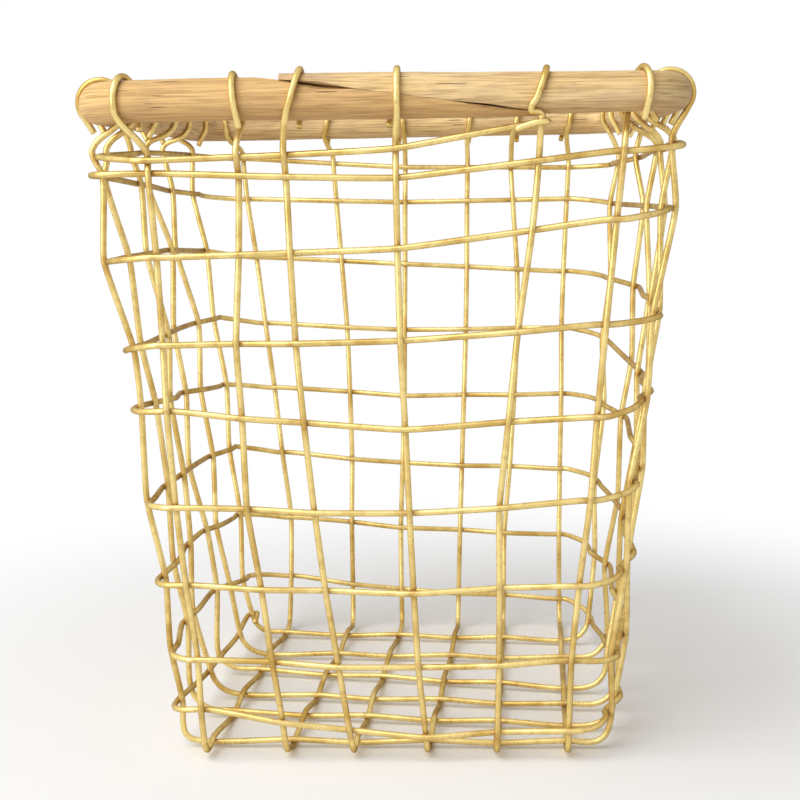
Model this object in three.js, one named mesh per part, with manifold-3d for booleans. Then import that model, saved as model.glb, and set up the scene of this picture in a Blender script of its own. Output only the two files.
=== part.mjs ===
// Wire utensil basket: a square basket woven from brass wire and hooked over a bent cane rim.
// Millimetres, +Z up, -Y to the front. The origin is the middle of the floor, on the surface it stands on.
import * as THREE from 'three';
import { mergeVertices } from 'three/addons/utils/BufferGeometryUtils.js';
import Module from 'manifold-3d';

const solids = await Module();
solids.setup();

// Stock sizes
const WIRE = 2; // diameter of every wire
const CANE = 12.4; // diameter of the rim cane
const GAP = 0.3; // clearance wherever one wire lies on another or on the cane

// Overall form
const RIM_HEIGHT = 213; // from the ground to the middle of the cane
const RIM_HALF = 87; // from the basket's axis to the middle of the cane
const RIM_CORNER = 13; // bend radius of the cane's corners
const WALL_FOOT_HALF = 72; // half width of the woven wall where it leaves the floor
const WALL_OVERHANG = 3; // how far outside the cane's middle the walls would end if they ran up to it
const FOOT_BEND = 5; // bend radius between the floor and the front and back walls
const SIDE_FOOT_BEND = 9.5; // the same at the side walls, but for their front-most wire

// Scarf joint of the cane, on the front side
const JOINT_LEFT = -30; // where the upper end's blunt tip lies, along the front
const JOINT_RIGHT = 46; // where the lower end's blunt tip lies
const UPPER_STEP = 1; // how far the upper tip stands above the cane's top
const LOWER_STEP = 0.8; // how far the lower tip stands below the cane's underside
const JOINT_EASE = 16; // length past the joint over which each end returns to the cane's own line

// Free ends
const TAIL = 4; // length of a hook's straight tail past its last bend
const END_LENGTH = 7.5; // how far each end of the spiral wire runs on past the leg that it is bent round
const END_DROP = 2; // how far it falls over that length

// Facets
const WIRE_SIDES = 6;
const CANE_SIDES = 16;

// The wires rest on the ground on their lowest crossings, flattened by a tenth of their diameter.
const FLAT = WIRE / 10;
const WEAVE = (WIRE + GAP) / 2; // how far a wire stands off the woven surface where it crosses another
const SIDE_WAVE = WEAVE / 2; // in the floor the wires from left to right stay straighter
const FRONT_WAVE = 2 * WEAVE - SIDE_WAVE; // than those from front to back
const FLOOR_LEVEL = FRONT_WAVE + WIRE / 2 - FLAT; // height of the woven floor's middle surface

// The lists below give heights in hundredths of the rim's height, and places along a wall in hundredths
// of the wall's half width there, so that the weave keeps its pattern in a basket of another size.

// Heights at which the other lists give their values
const LEVELS = [2, 19, 40, 66, 80, 90];

// How much nearer to the middle the left wall stands at the back than at the front, at the LEVELS
const LEFT_PINCH = [9, 8, 5, 3.5, 3.5, 3];

// Six wires run from front to back under the floor and six from left to right, each a U whose two legs
// are woven into opposite walls. For each leg: its place along the wall at the LEVELS, the side of the
// cane that it goes up on, and where its hook crosses the cane, on the leg's side, on top and at the
// tail, in hundredths of the cane's half width. The walls at the sides are bowed: there each leg also
// has the distance in millimetres that it stands outside the flat wall at the LEVELS, and the legs of
// the front-most wire are bent as tightly at the foot as those of the front and back.
const LEGS = {
  front: [
    { at: [-87, -85, -86, -82.5, -80.5, -79.5], goes: 'outside', hook: [-88.5, -88.5, -85] },
    { at: [-50, -53, -57, -55, -51, -49], goes: 'inside', hook: [-48.5, -50.5, -49] },
    { at: [-19.5, -25.5, -30.5, -33.5, -33, -33], goes: 'outside', hook: [-32, -27.5, -28.5] },
    { at: [14, 9.5, 7.5, 5, 4.5, 4.5], goes: 'outside', hook: [5.5, 5.5, 3] },
    { at: [45.5, 45, 43, 47.5, 51, 52.5], goes: 'outside', hook: [50.5, 56, 55], end: true },
    { at: [77.5, 75.5, 78.5, 79, 80, 80.5], goes: 'inside', hook: [84, 88.5, 88] },
  ],
  back: [
    { at: [-72, -66.5, -69.5, -73, -75.5, -77], goes: 'inside', hook: [-84, -86, -83] },
    { at: [-34.5, -33, -30.5, -31, -33, -34], goes: 'inside', hook: [-38, -35.5, -37] },
    { at: [-5.5, -5.5, -2.5, -1, -0.5, 0], goes: 'inside', hook: [0, -1, -2.5] },
    { at: [27.5, 28, 29, 30, 29.5, 29.5], goes: 'inside', hook: [30, 32, 31] },
    { at: [54, 53, 55.5, 56, 52.5, 50], goes: 'inside', hook: [51.5, 55, 54] },
    { at: [87, 83.5, 81, 77.5, 77.5, 77], goes: 'inside', hook: [77, 79.5, 76] },
  ],
  left: [
    {
      at: [80, 79.5, 81, 81, 80, 79.5],
      bow: [2.5, 2, -1, -1.5, 0.5, 1],
      goes: 'outside',
      hook: [80.5, 78, 79.5],
    },
    {
      at: [43, 40, 43, 43, 37, 39.5],
      bow: [1.5, 3, 1.5, 0, 3.5, 3],
      goes: 'inside',
      hook: [39, 37, 39],
    },
    {
      at: [16.5, 17, 11.5, 12, 10.5, 4.5],
      bow: [5, 3, 3.5, 2, 0.5, 4],
      goes: 'inside',
      hook: [7, 9, 8],
    },
    {
      at: [-20.5, -24, -22.5, -24, -24.5, -25],
      bow: [2, 3.5, 1, -1, 1.5, 1.5],
      goes: 'outside',
      hook: [-27.5, -30, -28.5],
    },
    {
      at: [-45.5, -47.5, -53, -58.5, -61.5, -63.5],
      bow: [3.5, 2.5, 1, 0, 1.5, 3],
      goes: 'inside',
      hook: [-64.5, -62, -63],
    },
    {
      at: [-83, -82, -82, -81, -82, -80.5],
      bow: [1, 0, 0.5, -0.5, 3.5, 1.5],
      goes: 'inside',
      hook: [-83, -86, -81.5],
      tight: true,
    },
  ],
  right: [
    {
      at: [65, 66.5, 68, 72.5, 75, 75],
      bow: [1.5, -0.5, -1, -2.5, -3, -3],
      goes: 'inside',
      hook: [76, 73.5, 74.5],
    },
    {
      at: [33, 33, 25.5, 24, 23, 35],
      bow: [4.5, 3, 3.5, 3.5, 4, 1.5],
      goes: 'outside',
      hook: [38, 40, 39],
    },
    {
      at: [-14, -10.5, -15, -14.5, -3.5, -1],
      bow: [2.5, 2.5, 3.5, 4, 3, 3],
      goes: 'inside',
      hook: [-2.5, -4.5, -3.5],
    },
    {
      at: [-38.5, -34.5, -36.5, -36, -37, -30.5],
      bow: [3, 2.5, 3, 3.5, 4, 2.5],
      goes: 'inside',
      hook: [-32, -30, -31],
    },
    {
      at: [-65, -62.5, -60.5, -61, -58, -56.5],
      bow: [1.5, 1.5, 1.5, 2, 1.5, 1.5],
      goes: 'inside',
      hook: [-57.5, -60, -57.5],
    },
    {
      at: [-85.5, -83.5, -81, -77.5, -76.5, -76],
      bow: [-3, -3, -2.5, -0.5, 2.5, 0.5],
      goes: 'outside',
      hook: [-80.5, -83, -79.5],
      tight: true,
    },
  ],
};

// The spiral wire's height on each turn, from the lowest up: at the first leg that it passes, the middle
// and the last leg of the left wall, the front, the right wall and the back. The last turn ends on the
// front in a hook, round the leg marked as its end.
const TURNS = [
  [4.7, 4, 7.7, 8.5, 4, 5.2, 6, 6.4, 4.5, 5.8, 7.5, 10.5],
  [12.2, 16.6, 17, 17, 15.2, 16.4, 15.7, 18.8, 18.2, 18.5, 20.1, 22.5],
  [24.4, 27.6, 28.2, 28.7, 27.3, 28.5, 29.1, 31.7, 31.2, 31.8, 33, 35.4],
  [37.8, 39.6, 40.8, 41.1, 39.6, 41.5, 42.7, 46, 46.6, 46.5, 46.5, 48.5],
  [50, 52.7, 55.1, 55.6, 52.5, 54.2, 55.6, 56.1, 58.2, 59.6, 59.5, 61.2],
  [63.1, 63.8, 64.1, 65.5, 65.5, 67.6, 68.1, 69.2, 70, 70.6, 72.5, 74.3],
  [76.1, 77.6, 77.4, 78.2, 78.7, 82.5, 83.8, 83.6, 83.7, 84.7, 84.6, 85.7],
  [86.9, 88.4, 89.9, 90, 88.6, 91.9, 93, 92.6, 91.3, 90.8, 91.4, 93.6],
  [94.4, 94.1, 92.6, 91.8, 92.5, 96],
];

// How far the spiral bows outside the straight line from one wall's last leg to the next wall's first,
// in millimetres, on each turn
const CORNER_BOWS = [3, 3, 3, 3, 3, 3, 3, 8, 2];

// The walls in the order in which the spiral wire passes them, with each wall's outward direction, the
// direction of X or Y in which the spiral passes it, and its bend at the foot
const WALLS = [
  { name: 'left', out: [-1, 0], forward: -1, foot: SIDE_FOOT_BEND },
  { name: 'front', out: [0, -1], forward: 1, foot: FOOT_BEND },
  { name: 'right', out: [1, 0], forward: 1, foot: SIDE_FOOT_BEND },
  { name: 'back', out: [0, 1], forward: -1, foot: FOOT_BEND },
];
const [LEFT, FRONT, RIGHT, BACK] = [0, 1, 2, 3];
const LAST_TURN = TURNS.length - 1;
const LAST_LEG = LEGS.front.findIndex(({ end }) => end);

const brass = () => new THREE.MeshStandardMaterial({ color: 0xd9a441, roughness: 0.35, metalness: 0.9 });
const cane = () => new THREE.MeshStandardMaterial({ color: 0xc69a62, roughness: 0.75, metalness: 0 });

// Half width of the woven wall at a height
function wallHalf(z) {
  return THREE.MathUtils.mapLinear(z, 0, RIM_HEIGHT, WALL_FOOT_HALF, RIM_HALF + WALL_OVERHANG);
}

// A value read from a list given at the LEVELS
function atLevel(values, z) {
  const level = THREE.MathUtils.clamp((100 * z) / RIM_HEIGHT, LEVELS[0], LEVELS[LEVELS.length - 1]);
  const i = Math.max(0, LEVELS.findIndex((listed) => level <= listed) - 1);
  return THREE.MathUtils.mapLinear(level, LEVELS[i], LEVELS[i + 1], values[i], values[i + 1]);
}

// A point on a wall: place is measured along X or Y, bow is how far the wall stands out there, and lift
// is how far the point stands off it. At the foot the wall bends in to the floor, and lift turns down.
function wallPoint(wallIndex, place, z, bow, foot, lift) {
  const { out } = WALLS[wallIndex];
  const half = wallHalf(z);
  const pinch = wallIndex === LEFT ? (atLevel(LEFT_PINCH, z) * (place / half + 1)) / 2 : 0;
  const down = THREE.MathUtils.clamp(1 - (z - FLOOR_LEVEL) / foot, 0, 1);
  const outward = Math.sqrt(1 - down ** 2);
  const distance = half - pinch + bow - foot * (1 - outward) + lift * outward;
  return new THREE.Vector3(
    out[0] * distance + Math.abs(out[1]) * place,
    out[1] * distance + Math.abs(out[0]) * place,
    z - lift * down,
  );
}

// A leg's distance from the middle of its wall
function legPlace(leg, z) {
  return (atLevel(leg.at, z) * wallHalf(z)) / 100;
}

// Bend radius of a leg's foot
function footBend(wallIndex, leg) {
  return leg.tight ? FOOT_BEND : WALLS[wallIndex].foot;
}

// A point at a leg, lift off its own line and shift further along the wall
function legPoint(wallIndex, leg, z, lift, shift = 0) {
  const bow = leg.bow ? atLevel(leg.bow, z) : 0;
  return wallPoint(wallIndex, legPlace(leg, z) + shift, z, bow, footBend(wallIndex, leg), lift);
}

// The legs of a wall in the order in which the spiral passes them
function legsInOrder(wallIndex) {
  const legs = LEGS[WALLS[wallIndex].name];
  return wallIndex < RIGHT ? legs : [...legs].reverse();
}

// Height of the spiral on one turn of one wall
function spiralHeight(turn, wallIndex, place) {
  const [first, middle, last] = TURNS[turn].slice(3 * wallIndex, 3 * wallIndex + 3);
  const legs = legsInOrder(wallIndex);
  const past = place * WALLS[wallIndex].forward > 0;
  const lastLeg = turn === LAST_TURN && wallIndex === FRONT ? LAST_LEG : legs.length - 1;
  const end = legPlace(legs[past ? lastLeg : 0], (middle * RIM_HEIGHT) / 100);
  return (THREE.MathUtils.mapLinear(place, 0, end, middle, past ? last : first) * RIM_HEIGHT) / 100;
}

// Whether the spiral passes outside a leg, counted from the back-left corner. It goes in and out by
// turns, and once in each turn it passes outside two legs in a row, one leg further on every turn.
// On the last turn it also stays inside the third leg of the front.
function spiralOutside(turn, leg) {
  if (turn === LAST_TURN && leg === 8) return false;
  return leg > turn ? (leg - turn) % 2 === 1 : (turn - leg) % 2 === 0;
}

// Height at which the spiral passes a leg
function crossingHeight(turn, wallIndex, leg) {
  let z = spiralHeight(turn, wallIndex, 0);
  for (let i = 0; i < 8; i += 1) z = spiralHeight(turn, wallIndex, legPlace(leg, z));
  return z;
}

// A wire's centreline, with a ring of its tube on every one of its points
class WireLine extends THREE.CatmullRomCurve3 {
  getUtoTmapping(u) {
    return u;
  }
}

function wireGeometry(points) {
  const section = new THREE.Shape();
  for (let i = 0; i < WIRE_SIDES; i += 1) {
    const angle = (i / WIRE_SIDES) * 2 * Math.PI;
    const corner = [(WIRE / 2) * Math.cos(angle), (WIRE / 2) * Math.sin(angle)];
    if (i === 0) section.moveTo(...corner);
    else section.lineTo(...corner);
  }
  return new THREE.ExtrudeGeometry(section, {
    extrudePath: new WireLine(points, false, 'centripetal'),
    steps: points.length - 1,
    bevelEnabled: false,
  });
}

// The cane's centreline, given by the distance run along it from the front's middle to the right
const STRAIGHT = 2 * (RIM_HALF - RIM_CORNER);
const BEND = (RIM_CORNER * Math.PI) / 2;
function canePlace(run) {
  const sides = Math.floor((run + STRAIGHT / 2) / (STRAIGHT + BEND));
  const rest = run - sides * (STRAIGHT + BEND);
  const angle = Math.max(0, rest - STRAIGHT / 2) / RIM_CORNER;
  const x = Math.min(rest, STRAIGHT / 2) + RIM_CORNER * Math.sin(angle);
  const y = -STRAIGHT / 2 - RIM_CORNER * Math.cos(angle);
  const heading = (sides * Math.PI) / 2;
  const centre = new THREE.Vector3(x, y, RIM_HEIGHT).applyAxisAngle(new THREE.Vector3(0, 0, 1), heading);
  const out = new THREE.Vector3(Math.sin(heading + angle), -Math.cos(heading + angle), 0);
  return { centre, out };
}

// How far the joint stands above the cane's own top and below its own underside at a place on the front
function jointSteps(x) {
  if (x < JOINT_LEFT - JOINT_EASE || x > JOINT_RIGHT + JOINT_EASE) return [0, 0];
  const length = JOINT_RIGHT - JOINT_LEFT + JOINT_EASE;
  const above = x > JOINT_LEFT - WIRE ? (UPPER_STEP * (JOINT_RIGHT + JOINT_EASE - x)) / length : 0;
  const below = x < JOINT_RIGHT + WIRE ? (LOWER_STEP * (x - JOINT_LEFT + JOINT_EASE)) / length : 0;
  return [above, below];
}

// The hook at a leg's top: from the leg's side of the cane over the top and down the other side
function hookPoints(wallIndex, { goes, hook }) {
  const side = (wallIndex + 3) % WALLS.length;
  const from = THREE.MathUtils.degToRad(goes === 'outside' ? -38 : 230);
  const to = THREE.MathUtils.degToRad(goes === 'outside' ? 222 : -42);
  const count = 9;
  const spread = Math.cos((to - from) / count / 2);
  const radius = CANE / 2 + GAP + WIRE / 2;
  const places = hook.map((share) => (share * RIM_HALF) / 100);
  const points = [];
  for (let i = 0; i <= count; i += 1) {
    const angle = THREE.MathUtils.lerp(from, to, i / count);
    const lean = Math.sin((i / count) * Math.PI);
    const end = i > count / 2 ? places[2] : places[0];
    const place = WALLS[wallIndex].forward * THREE.MathUtils.lerp(end, places[1], lean);
    const { centre, out } = canePlace(side * (STRAIGHT + BEND) + place);
    const [above, below] = wallIndex === FRONT ? jointSteps(place) : [0, 0];
    const point = centre.addScaledVector(out, (radius / spread) * Math.cos(angle));
    point.z += (above - below) / 2 + ((radius + (above + below) / 2) / spread) * Math.sin(angle);
    points.push(point);
  }
  // a short straight tail past the last bend
  const [before, last] = points.slice(-2);
  points.push(last.clone().add(last.clone().sub(before).setLength(TAIL)));
  return points;
}

// One leg from the floor to the end of its hook
function legPoints(wallIndex, leg) {
  const order = wallIndex * 6 + legsInOrder(wallIndex).indexOf(leg);
  const woven = TURNS.map((row, turn) => turn)
    .filter((turn) => turn < LAST_TURN || order <= 6 + LAST_LEG)
    .map((turn) => ({
      z: crossingHeight(turn, wallIndex, leg),
      lift: spiralOutside(turn, order) ? -WEAVE : WEAVE,
    }));
  // the bend at the foot, up to just under the lowest turn
  const points = [1, 2, 3]
    .map((i) => FLOOR_LEVEL + footBend(wallIndex, leg) * (1 - Math.cos((i * Math.PI) / 6)))
    .filter((z) => z < woven[0].z - WIRE / 2)
    .map((z) => {
      const share = (z - FLOOR_LEVEL) / (woven[0].z - FLOOR_LEVEL);
      return legPoint(wallIndex, leg, z, woven[0].lift * share);
    });
  woven.forEach(({ z, lift }) => points.push(legPoint(wallIndex, leg, z, lift)));
  // the leg stands straight past the highest turn before it bends to the cane
  const top = woven[woven.length - 1];
  points.push(legPoint(wallIndex, leg, top.z + WIRE + GAP, top.lift));
  points.push(...hookPoints(wallIndex, leg));
  return points;
}

// The straight line of a wire's run through the floor, from wall to wall
function floorLine(firstWall, secondWall, index) {
  return [firstWall, secondWall].map((wallIndex) =>
    legPoint(wallIndex, LEGS[WALLS[wallIndex].name][index], FLOOR_LEVEL, 0),
  );
}

// The share of the first line at which the second crosses it, seen from above
function crossingShare([a, b], [c, d]) {
  const along = d.clone().sub(c);
  const across = (p) => (p.x - c.x) * along.y - (p.y - c.y) * along.x;
  return across(a) / (across(a) - across(b));
}

// One U wire: down the first wall, under the floor and up the opposite wall. In the floor it passes over
// and under the wires that cross it by turns.
function uWire(firstWall, secondWall, index) {
  const [first, second] = [firstWall, secondWall].map((w) => legPoints(w, LEGS[WALLS[w].name][index]));
  const line = floorLine(firstWall, secondWall, index);
  const [across, facing, wave] =
    firstWall === FRONT ? [LEFT, RIGHT, FRONT_WAVE] : [FRONT, BACK, SIDE_WAVE];
  const crossings = LEGS[WALLS[across].name].map((leg, i) => {
    const over = ((index + i) % 2 === 1) === (firstWall === FRONT);
    const share = crossingShare(line, floorLine(across, facing, i));
    const point = line[0].clone().lerp(line[1], share);
    point.z += over ? wave : -wave;
    return { share, point };
  });
  crossings.sort((a, b) => a.share - b.share);
  const floor = crossings.map(({ point }) => point);
  // the wider bends at the sides run straight into the crossings of the outermost wires
  const [start, end] = [firstWall, secondWall].map((w, i) =>
    footBend(w, LEGS[WALLS[w].name][index]) > FOOT_BEND ? [] : [line[i]],
  );
  return wireGeometry([...first.reverse(), ...start, ...floor, ...end, ...second]);
}

// The spiral wire, from the hook round its first leg to the hook round its last
function spiralPoints() {
  const points = [];
  const lastOrder = LAST_TURN * 24 + 6 + LAST_LEG;
  for (let order = 0; order <= lastOrder; order += 1) {
    const turn = Math.floor(order / 24);
    const wallIndex = Math.floor((order % 24) / 6);
    const leg = legsInOrder(wallIndex)[order % 6];
    const z = crossingHeight(turn, wallIndex, leg);
    const lift = spiralOutside(turn, order % 24) ? WEAVE : -WEAVE;
    if (order === 0) {
      points.push(...roundLeg(wallIndex, leg, z, -WEAVE, 1));
    } else if (order === lastOrder) {
      points.push(...roundLeg(wallIndex, leg, z, WEAVE, -1));
    } else {
      // next to a corner the wire runs straight past the leg before it bends
      const [before, at, after] = [-WIRE, 0, WIRE].map((shift) =>
        legPoint(wallIndex, leg, z, lift, WALLS[wallIndex].forward * shift),
      );
      const nextToCorner = order % 6 === 0 || order % 6 === 5;
      if (order % 6 === 0) points.push(...cornerPoints(points[points.length - 1], before, CORNER_BOWS[turn]));
      points.push(...(nextToCorner ? [before, at, after] : [at]));
    }
  }
  return points;
}

// The spiral's bend from just past one wall's last leg to just before the next wall's first
function cornerPoints(from, to, bow) {
  const outward = new THREE.Vector3(to.y - from.y, from.x - to.x, 0).normalize();
  return [1, 2, 3].map((i) =>
    from.clone().lerp(to, i / 4).addScaledVector(outward, bow * Math.sin((i / 4) * Math.PI)),
  );
}

// The spiral's end, bent back round a leg: sense 1 for its start, -1 for its end
function roundLeg(wallIndex, leg, z, legLift, sense) {
  const steps = 6;
  const radius = (WIRE + GAP) / Math.cos(Math.PI / steps / 2);
  const forward = WALLS[wallIndex].forward * sense;
  const points = [legPoint(wallIndex, leg, z - END_DROP, legLift - sense * radius, forward * END_LENGTH)];
  for (let i = 0; i <= steps; i += 1) {
    const angle = (i / steps) * Math.PI;
    const lift = legLift - sense * radius * Math.cos(angle);
    points.push(legPoint(wallIndex, leg, z, lift, -forward * radius * Math.sin(angle)));
  }
  return sense > 0 ? points : points.reverse();
}

// The cane: a bar swept round the rim, whose two ends are cut to long slopes that lie on each other
function caneGeometry() {
  const round = 4 * (STRAIGHT + BEND);
  const slope = (JOINT_RIGHT - JOINT_LEFT) / CANE;
  const middle = (JOINT_LEFT + JOINT_RIGHT) / 2;
  const cut = (GAP / 2) * Math.hypot(slope, 1);
  const stations = [{ run: middle + cut, end: 1 }, { run: JOINT_RIGHT + JOINT_EASE, end: 0 }];
  for (let side = 0; side < 4; side += 1) {
    const start = STRAIGHT / 2 + side * (STRAIGHT + BEND);
    for (let i = 0; i <= 4; i += 1) stations.push({ run: start + (i / 4) * BEND, end: 0 });
  }
  stations.push({ run: round + JOINT_LEFT - JOINT_EASE, end: 0 }, { run: round + middle - cut, end: -1 });

  const section = new THREE.Shape();
  for (let i = 0; i < CANE_SIDES; i += 1) {
    const angle = (i / CANE_SIDES) * 2 * Math.PI;
    section[i ? 'lineTo' : 'moveTo']((CANE / 2) * Math.cos(angle), (CANE / 2) * Math.sin(angle));
  }
  const steps = stations.length - 1;
  const geometry = new THREE.ExtrudeGeometry(section, { depth: steps, steps, bevelEnabled: false });
  const position = geometry.getAttribute('position');
  for (let i = 0; i < position.count; i += 1) {
    const { run, end } = stations[Math.round(position.getZ(i))];
    const sideways = position.getX(i);
    let up = position.getY(i);
    if (end > 0) up += UPPER_STEP * (up / CANE + 0.5);
    if (end < 0) up -= LOWER_STEP * (0.5 - up / CANE);
    const shift = end === 0 ? 0 : slope * THREE.MathUtils.clamp(up, -CANE / 2, CANE / 2);
    const { centre, out } = canePlace(run - shift);
    position.setXYZ(i, centre.x - out.x * sideways, centre.y - out.y * sideways, centre.z + up);
  }
  geometry.computeVertexNormals();
  return geometry;
}

// A wire cut off flat at the ground
function cutAtGround(geometry) {
  const bare = new THREE.BufferGeometry();
  bare.setAttribute('position', geometry.getAttribute('position'));
  const merged = mergeVertices(bare, 1e-3);
  const mesh = new solids.Mesh({
    numProp: 3,
    vertProperties: merged.getAttribute('position').array,
    triVerts: new Uint32Array(merged.index.array),
  });
  const cut = new solids.Manifold(mesh).trimByPlane([0, 0, 1], 0).getMesh();
  const result = new THREE.BufferGeometry();
  result.setAttribute('position', new THREE.BufferAttribute(cut.vertProperties, 3));
  result.setIndex(new THREE.BufferAttribute(cut.triVerts, 1));
  result.computeVertexNormals();
  return result;
}

const basket = new THREE.Group();

function addPiece(name, geometry, material) {
  const mesh = new THREE.Mesh(geometry, material);
  mesh.name = name;
  basket.add(mesh);
}

addPiece('rim_cane', caneGeometry(), cane());
addPiece('spiral_wire', wireGeometry(spiralPoints()), brass());
for (let i = 0; i < 6; i += 1) {
  addPiece(`front_to_back_wire_${i + 1}`, cutAtGround(uWire(FRONT, BACK, i)), brass());
  addPiece(`left_to_right_wire_${i + 1}`, cutAtGround(uWire(LEFT, RIGHT, i)), brass());
}

export default basket;
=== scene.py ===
"""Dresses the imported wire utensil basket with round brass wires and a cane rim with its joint.

Shapes are worked out in millimetres, +Z up, -Y to the front, from the middle of the surface that
the basket stands on, and are turned into metres as each piece is made.
"""

import math

import bpy
from mathutils import Matrix, Vector, kdtree, noise


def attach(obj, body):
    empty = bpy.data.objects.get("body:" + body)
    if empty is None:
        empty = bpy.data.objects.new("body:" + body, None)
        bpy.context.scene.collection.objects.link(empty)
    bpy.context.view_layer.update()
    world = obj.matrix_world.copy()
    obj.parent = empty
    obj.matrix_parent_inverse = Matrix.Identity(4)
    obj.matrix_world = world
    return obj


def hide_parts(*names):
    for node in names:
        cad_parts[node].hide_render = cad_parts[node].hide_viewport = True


bl_info = {
    "name": "Wire Utensil Basket",
    "version": (1, 0, 0),
    "blender": (4, 5, 0),
    "location": "3D View > Sidebar > Basket",
    "description": "Models a hand-woven brass wire basket on a bent cane rim",
    "category": "Object",
}

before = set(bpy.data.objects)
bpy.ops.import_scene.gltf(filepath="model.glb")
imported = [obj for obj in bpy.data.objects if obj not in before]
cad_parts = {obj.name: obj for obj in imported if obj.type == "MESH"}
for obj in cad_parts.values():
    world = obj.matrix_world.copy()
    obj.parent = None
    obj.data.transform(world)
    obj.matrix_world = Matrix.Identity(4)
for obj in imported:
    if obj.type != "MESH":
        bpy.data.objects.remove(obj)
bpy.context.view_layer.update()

MM = 0.001
WHITE = (1, 1, 1, 1)

# Overall form, in millimetres
RIM_HEIGHT = 213  # the cane's middle over the ground
RIM_HALF = 87  # half the rim's width, to the cane's middle
RIM_CORNER = 13
WALL_FOOT_HALF = 72  # half the walls' width at the ground
WALL_OVERHANG = 3  # how far outside the cane's middle the walls would meet its height
FOOT_BEND = 5  # bend radius between the floor and the front and back walls
SIDE_FOOT_BEND = 9.5  # the same at the side walls, but for their front-most wire

# Scarf joint of the cane, on the front side, in millimetres
JOINT_LEFT = -30
JOINT_RIGHT = 46
UPPER_STEP = 1  # how far the upper tip stands over the cane's top
LOWER_STEP = 0.8  # and the lower tip under its underside
STEP_MARGIN = 2  # how far past the tips the steps still count, for the hooks that lie there
JOINT_EASE = 16  # how far past the joint the cane takes to come back to its own thickness
SEAM_LEFT_HEIGHT = 5.2  # the seam's height over the cane's middle where the upper tip ends
SEAM_RIGHT_HEIGHT = -5.6  # and where the lower tip ends
SEAM_GAP = 0.08
SEAM_GAPES = [(-30, -6, 2.1), (20, 44, 1.3)]  # where it gapes: from, to and the most it opens
GAPE_DEPTH = 2.2  # how far above and below the seam the gaping bends the cane
GAPE_REACH = 3  # how far out from the cane's middle the gaping is full
UPPER_GAPE = 0.35  # the upper slope's share of the gaping

# Free ends, in millimetres
TAIL = 4  # the straight end of a hook
END_LENGTH = 7.5  # the straight end of the spiral, past its bend round a leg
END_DROP = 2  # how far that end drops

# Gaps left where pieces touch, in millimetres
WEAVE_GAP = 0.01  # from a wire to the woven surface
GROUND_GAP = 0.02
HOOK_GAP = 0.06  # between a hook and the cane
END_GAP = 0.05  # between the spiral's ends and the legs that they bend round

# The lists below give heights in hundredths of the rim's height, and places along a wall in
# hundredths of the wall's half width there.
LEVELS = [2, 19, 40, 66, 80, 90]
# How far the left wall is drawn in towards its back at the LEVELS, in millimetres
LEFT_PINCH = [9, 8, 5, 3.5, 3.5, 3]

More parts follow.
